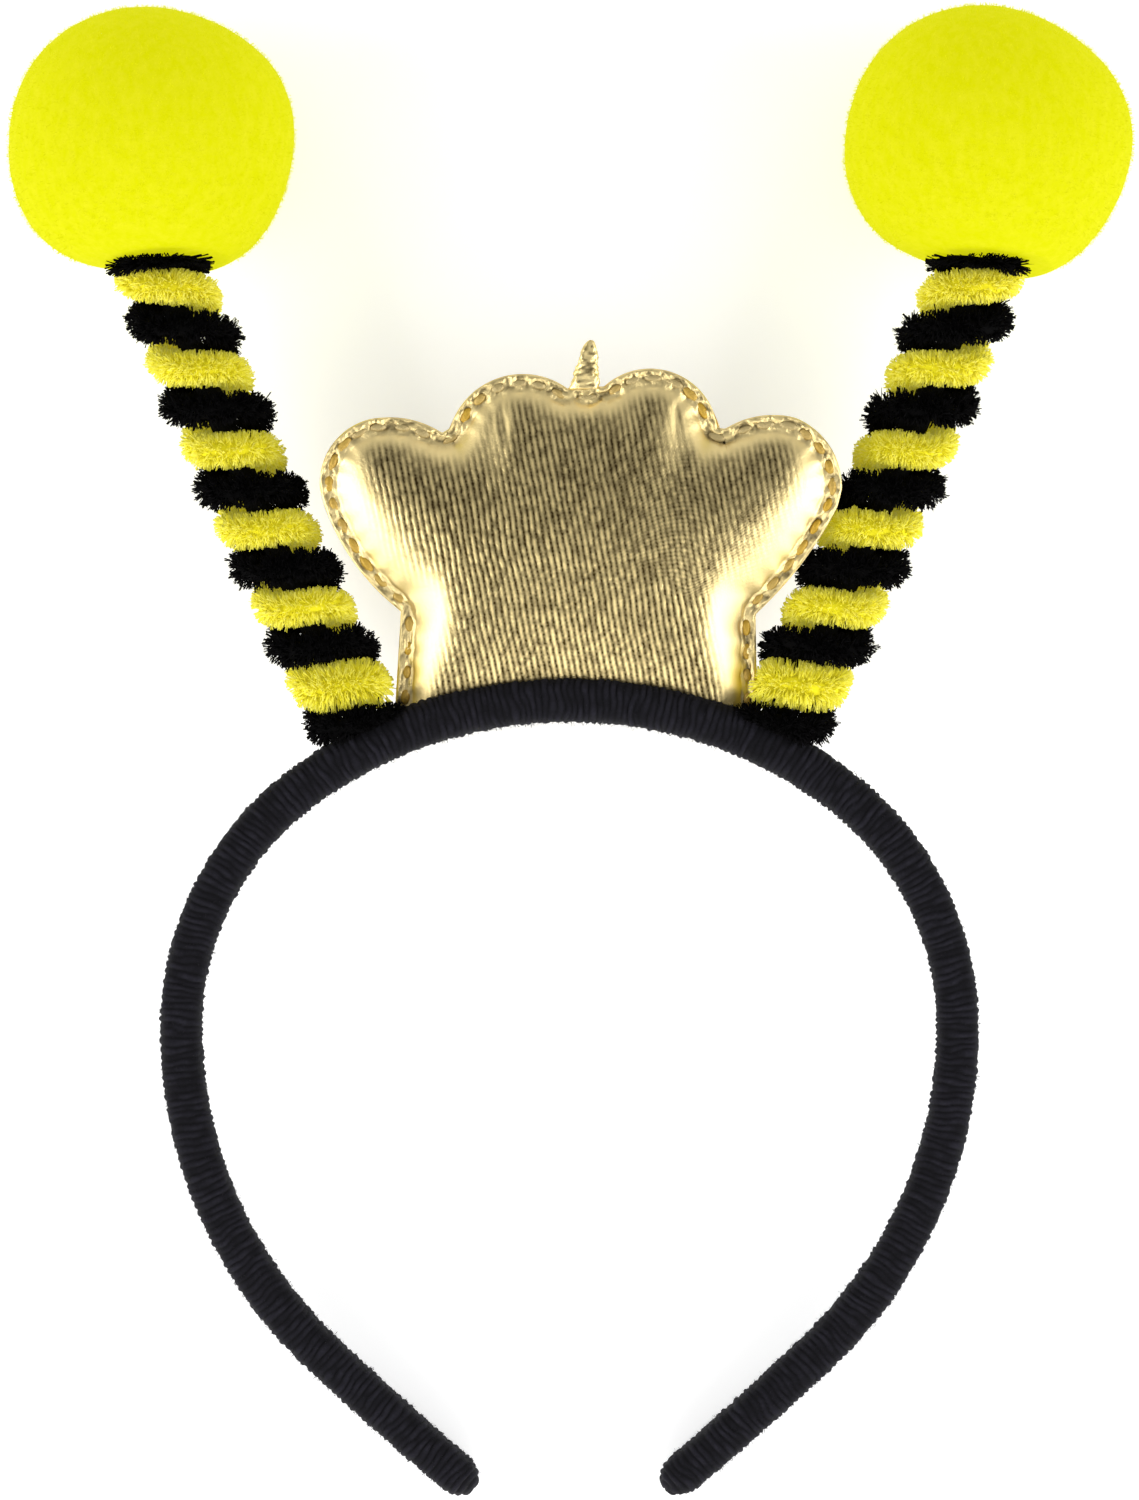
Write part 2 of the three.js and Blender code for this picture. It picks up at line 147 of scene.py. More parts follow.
class Wire:
    """One output of a node in a finish. Sums written on it add Math nodes, and node() adds any other node."""

    def __init__(self, tree, socket=None):
        self.tree = tree
        self.socket = socket

    def node(self, kind, settings=None, inputs=None, output=0):
        """A new node: its settings are set first, and then the values or links of its inputs."""
        made = self.tree.nodes.new(kind)
        for key, value in (settings or {}).items():
            setattr(made, key, value)
        for key, value in (inputs or {}).items():
            self.feed(made.inputs[key], value)
        return Wire(self.tree, made.outputs[output])

    def feed(self, socket, value):
        """Links a wire to a socket, or sets a plain value on it."""
        if isinstance(value, Wire):
            self.tree.links.new(value.socket, socket)
        else:
            socket.default_value = value

    def maths(self, operation, *terms):
        """A Math node on wires and plain numbers."""
        return self.node("ShaderNodeMath", {"operation": operation}, dict(enumerate(terms)))

    def __add__(self, other):
        return self.maths("ADD", self, other)

    def __sub__(self, other):
        return self.maths("SUBTRACT", self, other)

    def __rsub__(self, other):
        return self.maths("SUBTRACT", other, self)

    def __mul__(self, other):
        return self.maths("MULTIPLY", self, other)

    __radd__ = __add__
    __rmul__ = __mul__

    def kept(self, key):
        """Values that the mesh keeps at its points."""
        return self.node("ShaderNodeAttribute", {"attribute_name": key}, output="Fac")

    def grain(self, size, detail=2.0, stretch=(1, 1, 1)):
        """Noise from 0 to 1 over the piece, with grains of a size in millimetres."""
        place = self.node("ShaderNodeTexCoord", output="Object")
        place = self.node("ShaderNodeMapping", {}, {"Vector": place, "Scale": stretch})
        inputs = {"Vector": place, "Scale": 1 / (size * MM), "Detail": detail}
        return self.node("ShaderNodeTexNoise", {}, inputs)

    def blend(self, share, low, high):
        """The low colour where share is 0, and the high one where it is 1."""
        low, high = (colour if isinstance(colour, Wire) else (*colour, 1) for colour in (low, high))
        return self.node("ShaderNodeMix", {"data_type": "RGBA"}, {"Factor": share, 6: low, 7: high}, output=2)

    def bumps(self, height, depth):
        """A normal that rises and falls with a height from 0 to 1, by a depth in millimetres."""
        return self.node("ShaderNodeBump", {}, {"Height": height, "Distance": depth * MM})


def new_finish(name, **constants):
    """A material with plain values set on its surface shader. Gives it, the start of its wires and the
    shader's inputs."""
    finish = bpy.data.materials.new(name)
    finish.use_nodes = True
    shader = finish.node_tree.nodes["Principled BSDF"]
    for key, value in constants.items():
        shader.inputs[key.replace("_", " ")].default_value = value
    return finish, Wire(finish.node_tree), shader.inputs


BAND_TOP = 58.0
BAND_HALF_DEPTH = 5.5
# Radius and sweep in degrees of the band's arcs, from its top to a tip.
BAND_ARCS = ((76, 37.0), (51, 53.5), (76, 46.0), (560, 3.6))
# Shares of the way from the top to a tip, and the thickness of the band there.
BAND_WALL = ((0, 0.25, 0.45, 0.75, 1), (8.1, 7.6, 7.2, 7.5, 7.0))
BAND_HALF_LENGTH = sum(radius * np.radians(sweep) for radius, sweep in BAND_ARCS)
BAND_SQUARENESS = 3.2
BAND_GIRTH_RADIUS = 4.7
TIP_ROUNDING = 4.5
RIB_PITCH, RIB_HEIGHT, RIB_LEVEL = 1.15, 0.5, 0.6
RIB_STEPS = 6
LOOP_PITCH = 0.95
KNIT_GRAIN = 0.06


def band_line(length):
    """Middle line of the band at a length from its top, to the right if positive: arcs that each take up the
    turn of the arc before. Gives its places across and up, and its turn from level."""
    left, turned = np.abs(length), np.zeros_like(length)
    across, up = np.zeros_like(length), np.full_like(length, BAND_TOP)
    for radius, sweep in BAND_ARCS:
        turn = np.minimum(left / radius, np.radians(sweep))
        across = across + radius * (np.sin(turned + turn) - np.sin(turned))
        up = up + radius * (np.cos(turned + turn) - np.cos(turned))
        turned, left = turned + turn, left - radius * turn
    side = np.sign(length)
    return side * across, up, side * turned


def band_skin(length, angle, proud):
    """Points of the band's skin at a length from its top and an angle round it, and so far proud of it along
    its normal. The section is a power curve between an oval and a box, and shrinks as a ball does at the
    tips."""
    across, up, turned = band_line(length)
    beyond = np.clip((np.abs(length) - BAND_HALF_LENGTH + TIP_ROUNDING) / TIP_ROUNDING, 0, 1)
    shrink = np.sqrt(1 - beyond**2)
    wall = shrink * np.interp(np.abs(length) / BAND_HALF_LENGTH, *BAND_WALL) / 2
    depth = shrink * BAND_HALF_DEPTH
    power = BAND_SQUARENESS
    out, front = np.cos(angle), np.sin(angle)
    reach = (np.abs(out / wall) ** power + np.abs(front / depth) ** power) ** (-1 / power)
    tilt_out = np.sign(out) * np.abs(out / wall) ** (power - 1) / wall
    tilt_front = np.sign(front) * np.abs(front / depth) ** (power - 1) / depth
    slope = np.hypot(tilt_out, tilt_front)
    away = reach * out + proud * shrink * tilt_out / slope
    forwards = reach * front + proud * shrink * tilt_front / slope
    end = np.sign(length) * proud * beyond
    across = across + away * np.sin(turned) + end * np.cos(turned)
    up = up + away * np.cos(turned) - end * np.sin(turned)
    return np.stack([across, up, forwards], axis=-1)


def knit(length, angle):
    """How far the knit stands proud, and its share of a rib's height: ribs that wander and thin out, round on
    top and creased between, with the bumps of single loops along them."""
    around = BAND_GIRTH_RADIUS * np.abs(np.mod(angle, 2 * np.pi) - np.pi)
    wander = 0.5 * mottle(length / 4, around / 3, 1) + 0.18 * mottle(length / 1.2, around / 1.5, 5)
    phase = length / RIB_PITCH + wander
    rib = np.floor(phase)
    crest = 1 - (2 * (phase - rib) - 1) ** 2
    loop = 0.5 + 0.5 * np.cos(2 * np.pi * around / LOOP_PITCH + 6 * mottle(rib, 0.5, 2))
    uneven = 0.64 + 0.42 * mottle(rib, around / 1.8, 3)
    share = crest * uneven * (0.7 + 0.3 * loop)
    grain = KNIT_GRAIN * mottle(length / 0.5, around / 0.5, 4)
    return RIB_HEIGHT * (share - RIB_LEVEL) + grain, share


band_finish, wire, surface = new_finish(
    "black_rib_knit", Roughness=0.95, Specular_IOR_Level=0.12, Sheen_Weight=0.03, Sheen_Roughness=0.5
)
# The knit is painted darker in the creases between its ribs than on their crests: painted shade.
rise = wire.kept("rise")
yarn = wire.grain(0.5)
knit_shaded = wire.blend(rise * (0.5 + yarn), (0.0016, 0.0015, 0.0022), (0.0122, 0.0115, 0.0168))
wire.feed(surface["Base Color"], knit_shaded)
wire.feed(surface["Normal"], wire.bumps(wire.grain(0.28, 3.0), 0.08))

rows, columns = int(2 * BAND_HALF_LENGTH / RIB_PITCH * RIB_STEPS), 44
length = (np.linspace(-1, 1, rows) * (BAND_HALF_LENGTH - 0.04))[:, None] + np.zeros((1, columns))
angle = np.linspace(0, 2 * np.pi, columns, endpoint=False)[None] + np.zeros((rows, 1))
proud, share = knit(length, angle)
points = band_skin(length, angle, proud).reshape(-1, 3)
ends = np.stack([points[:columns].mean(0), points[-columns:].mean(0)])
new_piece(
    "band_sleeve", np.concatenate([points, ends]), skin_faces(rows, columns), band_finish, "band_cloth",
    ["band"], rise=np.append(share.ravel(), (0.5, 0.5)),
)

HAIRS = 5000
HAIR_HALF_WIDTH = 0.04
HAIR_ROOT, HAIR_LEAST = -0.15, 0.08
random = np.random.default_rng(11)
length = random.uniform(-1, 1, HAIRS) * (BAND_HALF_LENGTH - 1)
angle = random.uniform(0, 2 * np.pi, HAIRS)
tall = random.gamma(2.5, 0.085, HAIRS)
roots = band_skin(length, angle, np.full(HAIRS, HAIR_ROOT))
leant = (random.normal(0, 0.25, HAIRS), random.normal(0, 0.05, HAIRS))
tips = band_skin(length + leant[0], angle + leant[1], HAIR_LEAST + tall)
points, faces = fibres(roots, tips, HAIR_HALF_WIDTH, 12)
rise = np.full(len(points), 0.4)
new_piece("band_hairs", points, [faces], band_finish, "band_cloth", smooth=False, rise=rise)

# Crown: two panels of gold cloth sewn together round a flat edge and padded, with their foot sewn into the
# band. It leans forwards. The cloth has fine upright ribs, and is drawn smooth over its shoulders.
SEAT_CENTRE = -18.0
SEAT_RADIUS = 80.05
CROWN_LEAN = np.tan(np.radians(12))
CROWN_FEET = (-29.8, 32.0)
CROWN_SINK = 1.6
# Middle across and up, radius, and first and last angle in degrees of the edge's arcs, from the left foot on.
CROWN_CURVES = (
    (-5.2, 103.4, 38.5, 232.5, 199),
    (-31.1, 94.4, 11.2, 184, 98),
    (-30.3, 89.5, 16.1, 92, 57),
    (-7.9, 100.0, 12.9, 163, 54),
    (13.6, 102.2, 11.6, 132, 8),
    (34.4, 90.8, 15.2, 122, 80),
    (33.5, 93.8, 12.6, 68, -2),
    (-11.5, 119.4, 63.8, -27, -47.5),
)
CROWN_CORNERS = ((-39.7, 101.6), (43.2, 101.9))
EDGE_STEP = 0.3
EDGE_ROLL = 0.4
EDGE_HALF = 0.55
SEAM_IN = 2.7
PUFF_FRONT, PUFF_BACK = 6.2, 3.7
PUFF_EDGE, PUFF_ROUNDNESS = 2.1, 0.95
PUFF_FOOT, PUFF_DEPTH = 7.5, 14.0
BLOWN_SCALE, BLOWN_STEP, BLOWN_CAP = 10, 3, 1.2
BLOWN_PRESSURE, BLOWN_FRAMES = 4, 20
HELD_LEVELS = 8
PUCKER_HEIGHT, CRINKLE_HEIGHT = 0.14, 0.26
SILK_PITCH, SILK_RIDGE, SILK_HEIGHT = 1.02, 0.27, 0.05
SILK_LEAN = np.radians(10.8)
STITCH_STEP = 4.05
STITCH_IN = 1.65
STITCH_HALF = (1.5, 0.85, 0.36)


def on_seat(across, radius):
    """Point at a distance across the head on a circle round the middle of the seat."""
    return np.stack([across, SEAT_CENTRE + np.sqrt(radius**2 - across**2)], axis=-1)


def height_on_seat(points):
    """Height of points above the outside of the band's top."""
    return np.hypot(points[..., 0], points[..., 1] - SEAT_CENTRE) - SEAT_RADIUS


def along_line(line, shares):
    """Points at shares of the length of a line through points."""
    run = np.append(0, np.cumsum(np.linalg.norm(np.diff(line, axis=0), axis=1)))
    return np.stack([np.interp(shares * run[-1], run, line[:, k]) for k in (0, 1)], axis=-1)


def crown_edge():
    """Edge of the crown from its left foot over its lobes to its right foot, in even steps: arcs that run
    clockwise and meet at the notches."""
    line = [on_seat(np.array([CROWN_FEET[0]]), SEAT_RADIUS - CROWN_SINK)]
    for across, up, radius, start, stop in CROWN_CURVES:
        turn = np.radians(np.linspace(start, stop, 60))
        line.append(np.stack([across + radius * np.cos(turn), up + radius * np.sin(turn)], axis=-1))
    line.append(on_seat(np.array([CROWN_FEET[1]]), SEAT_RADIUS - CROWN_SINK))
    line = np.concatenate(line)
    steps = int(np.linalg.norm(np.diff(line, axis=0), axis=1).sum() / EDGE_STEP)
    return along_line(line, np.linspace(0, 1, steps))


def nearest_on(line, points):
    """Distance of points from a line through points, and the length along the line to the nearest place."""
    best, place, run = np.full(points.shape[:-1], 1e9), np.zeros(points.shape[:-1]), 0.0
    for start, stop in zip(line[:-1], line[1:]):
        step = stop - start
        span = np.linalg.norm(step)
        share = np.clip(((points - start) @ step) / span**2, 0, 1)
        gap = np.linalg.norm(points - start - share[..., None] * step, axis=-1)
        place = np.where(gap < best, run + share * span, place)
        best = np.minimum(gap, best)
        run += span
    return best, place


def soft_depth(line, points):
    """Depth of points inside a closed line, smooth in the middle: one over the root of half the sum of the
    line's steps, each divided by the cube of its distance. Beside a straight line it is the distance."""
    total = np.zeros(points.shape[:-1])
    for start, stop in zip(line, np.roll(line, -1, axis=0)):
        gap = np.linalg.norm(points - (start + stop) / 2, axis=-1)
        total += np.linalg.norm(stop - start) / np.maximum(gap, 0.05) ** 3
    return (total / 2) ** -0.5


def patch(low, high, left, right, across, up):
    """Grid of points between four lines, at shares across and up: the straight passage from low to high,
    plus that from left to right, less what the four corners alone would give."""
    low, high = along_line(low, across)[None], along_line(high, across)[None]
    left, right = along_line(left, up)[:, None], along_line(right, up)[:, None]
    across, up = across[None, :, None], up[:, None, None]
    corners = (1 - up) * ((1 - across) * low[:, :1] + across * low[:, -1:])
    corners = corners + up * ((1 - across) * high[:, :1] + across * high[:, -1:])
    return (1 - up) * low + up * high + (1 - across) * left + across * right - corners


edge = crown_edge()
foot = on_seat(np.linspace(*CROWN_FEET, 200), SEAT_RADIUS - CROWN_SINK)
left_corner, right_corner = (np.argmin(np.linalg.norm(edge - corner, axis=1)) for corner in CROWN_CORNERS)
# The rows of the grid lie closer together towards the top edge.
rows, columns = 100, 439
shares = (np.linspace(0, 1, columns), 1 - np.linspace(1, 0, rows) ** 1.35)
sides = (edge[left_corner : right_corner + 1], edge[: left_corner + 1], edge[right_corner:][::-1])
sheet = patch(foot, *sides, *shares)
sewn, place = nearest_on(edge, sheet)
hidden = on_seat(np.linspace(*CROWN_FEET, 200)[::-1], SEAT_RADIUS - PUFF_FOOT)
hidden = along_line(np.concatenate([edge[-1:], hidden, edge[:1]]), np.linspace(0, 1, 140)[1:-1])
depth = soft_depth(np.concatenate([edge[::2], hidden]), sheet) - SEAM_IN
padding = np.clip(depth / PUFF_DEPTH, 0, 1)
wave = np.cos(2 * np.pi * place / STITCH_STEP)


def crown_form(face, puff):
    """One panel of the crown before its padding blows it up: it rolls over at the edge, dips at the stitches
    and swells inside them as a power curve of its depth."""
    roll = np.sqrt(1 - np.clip(1 - sewn / EDGE_ROLL, 0, 1) ** 2)
    row = np.exp(-(((sewn - STITCH_IN) / 0.6) ** 2))
    swell = puff * (1 - (1 - padding) ** PUFF_EDGE) ** PUFF_ROUNDNESS
    lifted = EDGE_HALF * roll - row * (0.16 - 0.1 * wave) + swell
    forwards = np.maximum(0, height_on_seat(sheet)) * CROWN_LEAN + face * lifted
    return np.concatenate([sheet, forwards[..., None]], axis=-1)


def skin_of_two(rows, columns):
    """Faces of a closed skin of two equal grids of points, the second one facing the other way, joined round
    their edges."""
    number = np.arange(rows * columns).reshape(rows, columns)
    loop = np.concatenate([number[0, :-1], number[:-1, -1], number[-1, :0:-1], number[:0:-1, 0]])
    after = np.roll(loop, -1)
    faces = grid_faces(rows, columns, False)
    joint = np.stack([after, loop, loop + rows * columns, after + rows * columns], axis=-1)
    return [faces, faces[:, ::-1] + rows * columns, joint]


def blown_up(points, faces, held):
    """Points of a closed cloth skin after pressure from inside has pushed it out for some frames. It stays
    where held is 1. The cloth is solved at a larger scale, at which its stiffness is that of light cloth."""
    mesh = bpy.data.meshes.new("blown_up")
    mesh.from_pydata((points * MM * BLOWN_SCALE).tolist(), [], faces.tolist())
    made = bpy.data.objects.new("blown_up", mesh)
    bpy.context.scene.collection.objects.link(made)
    group = made.vertex_groups.new(name="held")
    levels = np.round(held * HELD_LEVELS).astype(int)
    for level in range(1, HELD_LEVELS + 1):
        group.add(np.flatnonzero(levels == level).tolist(), level / HELD_LEVELS, "REPLACE")
    cloth = made.modifiers.new("cloth", "CLOTH").settings
    cloth.vertex_group_mass = "held"
    cloth.use_pressure = True
    cloth.uniform_pressure_force = BLOWN_PRESSURE
    cloth.effector_weights.gravity = 0
    cloth.quality = 8
    for number in range(1, BLOWN_FRAMES + 1):
        bpy.context.scene.frame_set(number)
    solved = made.evaluated_get(bpy.context.evaluated_depsgraph_get()).data
    pushed = np.empty(points.size)
    solved.vertices.foreach_get("co", pushed)
    bpy.data.objects.remove(made)
    bpy.data.meshes.remove(mesh)
    bpy.context.scene.frame_set(1)
    return pushed.reshape(points.shape) / (MM * BLOWN_SCALE)


def spline_shares(fine, coarse):
    """Shares of evenly spaced coarse points in fine ones between them: the cubic spline weights of the four
    nearest."""
    at = np.linspace(0, coarse - 1, fine)
    before = np.minimum(np.floor(at).astype(int), coarse - 2)
    x = at - before
    four = ((1 - x) ** 3, 3 * x**3 - 6 * x**2 + 4, 1 + 3 * x + 3 * x**2 - 3 * x**3, x**3)
    shares = np.zeros((fine, coarse))
    for step, share in enumerate(four):
        np.add.at(shares, (np.arange(fine), np.clip(before + step - 1, 0, coarse - 1)), share / 6)
    return shares


panels = np.stack([crown_form(1, PUFF_FRONT), crown_form(-1, PUFF_BACK)])
few = panels[:, ::BLOWN_STEP, ::BLOWN_STEP]
held = np.maximum(1 - eased(sewn - 0.5 * wave, 1.0, 2.8), 1 - eased(height_on_seat(sheet), 0.5, 2.5))
held = np.tile(held[::BLOWN_STEP, ::BLOWN_STEP].ravel(), 2)
quads = np.concatenate(skin_of_two(*few.shape[1:3]))
push = blown_up(few.reshape(-1, 3), quads, held).reshape(few.shape) - few
size = np.linalg.norm(push, axis=-1, keepdims=True)
push = push * np.minimum(1, BLOWN_CAP / np.maximum(size, 1e-9))
up, across = spline_shares(rows, few.shape[1]), spline_shares(columns, few.shape[2])
panels = panels + np.einsum("ir,prcx,jc->pijx", up, push, across, optimize=True)


def crown_cloth(points, face):
    """One blown-up panel with the relief of its cloth along its normal: puckers at the stitches, crinkles on
    the sewn edge, and ribs with beads along them. Gives also its painted shade, dark in the furrows between
    the ribs, a little on their crests and over the sewn edge, how far it stands on a rib, and where it is
    uneven. Where it turns away it is drawn smooth and its painted shade fades."""
    normal = face * unit(np.cross(np.gradient(points, axis=1), np.gradient(points, axis=0)))
    pucker = -PUCKER_HEIGHT * wave * np.exp(-np.abs(sewn - SEAM_IN) / 1.1) * eased(sewn, 0.3, 2.0)
    crinkle = mottle(place / 0.9, sewn / 0.7, 21 + face) + 0.5 * mottle(place / 0.5, sewn / 0.4, 27 + face)
    flange = eased(sewn, 0, 0.5) * (1 - eased(sewn, 1.8, 3.4))
    silk = (sheet[..., 0] * np.cos(SILK_LEAN) + sheet[..., 1] * np.sin(SILK_LEAN)) / SILK_PITCH
    silk = silk + 0.2 * mottle(sheet[..., 0] / 7, sheet[..., 1] / 7, 23)
    silk = silk + 0.07 * mottle(sheet[..., 0] / 1.2, sheet[..., 1] / 0.9, 26)
    rib = np.round(silk)
    ridge = np.exp(-(((silk - rib) * SILK_PITCH / SILK_RIDGE) ** 2))
    beads = mottle(rib, sheet[..., 1] / 0.8, 24)
    upright = normal[..., 1] + face * np.sin(np.arctan(CROWN_LEAN))
    turned = np.hypot(normal[..., 0], 0.4 * np.maximum(0, upright))
    ribbed = eased(sewn, 3.4, 5.6) * (1 - eased(turned, 0.14, 0.46))
    relief = ribbed * SILK_HEIGHT * ridge * (1 + 0.8 * beads) + pucker + CRINKLE_HEIGHT * crinkle * flange
    # Painted shade: dark in the furrows between the ribs and a little on their crests where the cloth faces
    # forwards, and over the sewn edge, darker in the hollows of its crinkles.
    furrow = ribbed * np.clip(1 - ridge * (0.85 + 0.45 * beads), 0, 1)
    furrow = furrow + flange * (0.22 + 0.5 * eased(-crinkle, -0.1, 0.7))
    return points + relief[..., None] * normal, furrow, ridge * ribbed, np.maximum(ribbed, flange)


front, back = crown_cloth(panels[0], 1), crown_cloth(panels[1], -1)
points, furrow, ridge, uneven = (np.stack(both) for both in zip(front, back))

gold_finish, wire, surface = new_finish("gold_rib_cloth", Metallic=0.95)
weave = wire.grain(0.45, 3.0)
# The gold is painted nearly black by its painted shade: shade in the furrows and in the crinkles of the edge.
shaded = wire.kept("furrow") * (0.55 + 0.9 * weave)
wire.feed(surface["Base Color"], wire.blend(shaded, (0.86, 0.69, 0.325), (0.032, 0.018, 0.003)))
wire.feed(surface["Roughness"], 0.42 - 0.1 * wire.kept("ridge") + 0.2 * (weave - 0.5))
thread = wire.grain(0.35, 3.0) * (0.4 + 0.6 * wire.kept("uneven"))
wire.feed(surface["Normal"], wire.bumps(thread, 0.08))
crown = new_piece(
    "crown", points.reshape(-1, 3), skin_of_two(rows, columns), gold_finish, "gold_cloth",
    ["crown_front", "crown_back"], furrow=furrow, ridge=ridge, uneven=uneven,
)


def stitch_row(face):
    """Points of the stitches along one face of the crown's edge, and how much of a painted amber reflection
    shows on them: round beads on a grid, drawn out by uneven shares of a stitch's half length along the
    edge, its half width towards the seam and its half height out of the cloth. The painted amber reflection
    fades where the edge faces upwards."""
    random = np.random.default_rng(40 + face)
    drop = np.linspace(0, np.pi, 7)[1:-1, None]
    turn = np.linspace(0, 2 * np.pi, 6, endpoint=False)[None]
    bead = np.broadcast_arrays(np.cos(drop), np.sin(drop) * np.cos(turn), np.sin(drop) * np.sin(turn))
    bead = np.stack(bead, axis=-1)
    bead = np.concatenate([bead.reshape(-1, 3), [(1, 0, 0), (-1, 0, 0)]]) * STITCH_HALF
    whole = np.linalg.norm(np.diff(edge, axis=0), axis=1).sum()
    middles = np.arange(STITCH_STEP, whole - STITCH_STEP / 2, STITCH_STEP)
    middles = middles + random.normal(0, 0.15, len(middles))
    bead = bead * random.uniform(0.75, 1.1, (len(middles), 1, 3))
    ahead = unit(along_line(edge, (middles + 0.6) / whole) - along_line(edge, (middles - 0.6) / whole))
    inwards = np.stack([ahead[:, 1], -ahead[:, 0]], axis=-1)
    flat = along_line(edge, middles / whole) + STITCH_IN * inwards
    flat = flat[:, None] + bead[..., :1] * ahead[:, None] + bead[..., 1:2] * inwards[:, None]
    forwards = height_on_seat(flat) * CROWN_LEAN + face * (EDGE_HALF - 0.1) + bead[..., 2]
    amber = eased(np.abs(inwards[:, :1]), 0.35, 0.85) * random.uniform(0.6, 1, (len(middles), 1))
    return np.concatenate([flat, forwards[..., None], amber[..., None] + 0 * flat[..., :1]], axis=-1)


beads = np.concatenate([stitch_row(1), stitch_row(-1)])
faces = [group + beads.shape[1] * np.arange(len(beads))[:, None, None] for group in skin_faces(5, 6)]
faces = [group.reshape(-1, group.shape[-1]) for group in faces]
# The stitches are painted amber where the edge runs up the sides: a painted reflection of the gold cloth in
# them. Elsewhere they are a pale gold-brown.
thread_finish, wire, surface = new_finish("amber_thread", Roughness=0.42, Metallic=0.35)
amber = wire.blend(wire.grain(0.4), (0.34, 0.18, 0.004), (0.56, 0.35, 0.015))
wire.feed(surface["Base Color"], wire.blend(wire.kept("amber"), (0.36, 0.28, 0.12), amber))
wire.feed(surface["Normal"], wire.bumps(wire.grain(0.3), 0.1))
new_piece(
    "crown_stitches", beads[..., :3].reshape(-1, 3), faces, thread_finish, "gold_cloth",
    amber=beads[..., 3],
)

# Tail: a small end of the same gold cloth, rolled up and crinkled. It is sewn in at the crown's edge and
# stands in the dip between the upper lobes.
TAIL = {"left": 0.0, "right": 5.0, "foot": 110.4, "top": 118.6, "lean": 1.1, "thickness": 2.8}
rows, columns = 60, 40
rise = np.linspace(0, 0.997, rows)[:, None] + np.zeros((1, columns))
turn = -np.linspace(0, 2 * np.pi, columns, endpoint=False)[None] + np.zeros((rows, 1))
crinkle = 0.1 * mottle(rise * 9, 3 * np.cos(turn), 31) + 0.09 * mottle(rise * 16, 5 * np.sin(turn), 32)
taper = (1 - rise) ** 0.45 / 2 * (1 + crinkle)
up = TAIL["foot"] + rise * (TAIL["top"] - TAIL["foot"])
flat = np.stack([np.cos(turn), np.sin(turn)])
flat = np.sign(flat) * np.abs(flat) ** 0.7
across = TAIL["lean"] * rise + taper * (TAIL["right"] - TAIL["left"]) * flat[0]
across = across + (TAIL["left"] + TAIL["right"]) / 2
forwards = taper * TAIL["thickness"] * flat[1]
forwards = forwards + CROWN_LEAN * height_on_seat(np.stack([across, up], axis=-1))
points = np.stack([across, up, forwards], axis=-1).reshape(-1, 3)
points = np.concatenate([points, [points[:columns].mean(0), points[-columns:].mean(0)]])
# Painted shade: dark creases at random over the middle of the tail's front and back faces.
crease_shade = 0.7 * eased(mottle(rise * 14, 4 * np.cos(turn) + 9, 33), 0, 0.5)
crease_shade = crease_shade * eased(-np.abs(np.cos(turn)), -0.9, -0.4)
new_piece(
    "crown_tail", points, skin_faces(rows, columns), gold_finish, "gold_cloth", ["crown_tip"],
    furrow=np.append(crease_shade, (0, 0)), ridge=np.full(len(points), 0.3), uneven=np.ones(len(points)),
)

# Posts: springy covered wires, one from each side of the band into its ball, that carry the chenille. They
# hardly show between its turns, so the solids keep their form and get a dull black cover.
post_finish, wire, surface = new_finish("post_cover", Roughness=0.8, Specular_IOR_Level=0.05)
wire.feed(surface["Base Color"], wire.blend(wire.grain(0.6), (0.002, 0.002, 0.002), (0.006, 0.006, 0.006)))
wire.feed(surface["Normal"], wire.bumps(wire.grain(0.3), 0.05))
for node in ("left_stalk_core", "right_stalk_core"):
    frame["nodes"][node].data.materials.clear()
    frame["nodes"][node].data.materials.append(post_finish)

# Chenille: two strands of cut pile, one black and one yellow, wound side by side up each post from the band
# to the ball. The pile stands out in tufts all round from the twisted yarn in the middle of a strand.
SIDES = {"left": -1, "right": 1}
STALK_FOOT = 35.6
STALK_LEAN = np.radians(26.6)
STALK_TOP = 86.4
STALK_RADIUS = STALK_TOP / np.radians(6)
COIL_START, COIL_LEAD, CLOSING_TURN = 0.9, 14.6, 5.3
COIL_DROOP = 1.6
STRANDS = {
    "black": {
        "turn_radius": 6.1, "phase": 0.0, "closing": 4.6, "first": -0.35, "last": 6.22, "out": 3.0,
        "along": 2.85, "fuller": 0, "pressed": 0.65, "tufts": 11000, "shag": 0.17,
    },
    "yellow": {
        "turn_radius": 5.35, "phase": 0.5, "closing": 0.0, "first": 0.22, "last": 5.8, "out": 2.85,
        "along": 3.1, "fuller": 0.38, "pressed": 0.1, "tufts": 14000, "shag": 0.1,
    },
}
POST_RADIUS = 2.3
YARN_RADIUS = 1.6
TURN_LENGTH = 38
FIBRES = 22000
FIBRE_HALF_WIDTH = (0.09, 0.15)
FIBRE_SHORTEST = 0.3
PILE_ROOT, PILE_LEAST = 1.1, 1.4
PILE_SINK, PILE_HANG = 0.5, 1.3
PILE_OVER_TOP = 0.7
CLEAR_OF_CROWN = 0.4
GLINT_ABOVE = 0.9988


def stalk_line(side, length):
    """Middle line of a post at a length from the seat, an arc that leans out less as it rises, and its
    lean."""
    lean = STALK_LEAN - length / STALK_RADIUS
    across = STALK_FOOT + STALK_RADIUS * (np.cos(lean) - np.cos(STALK_LEAN))
    up = on_seat(np.array(STALK_FOOT), SEAT_RADIUS)[1] + STALK_RADIUS * (np.sin(STALK_LEAN) - np.sin(lean))
    return np.stack([side * across, up, np.zeros_like(up)], axis=-1), lean


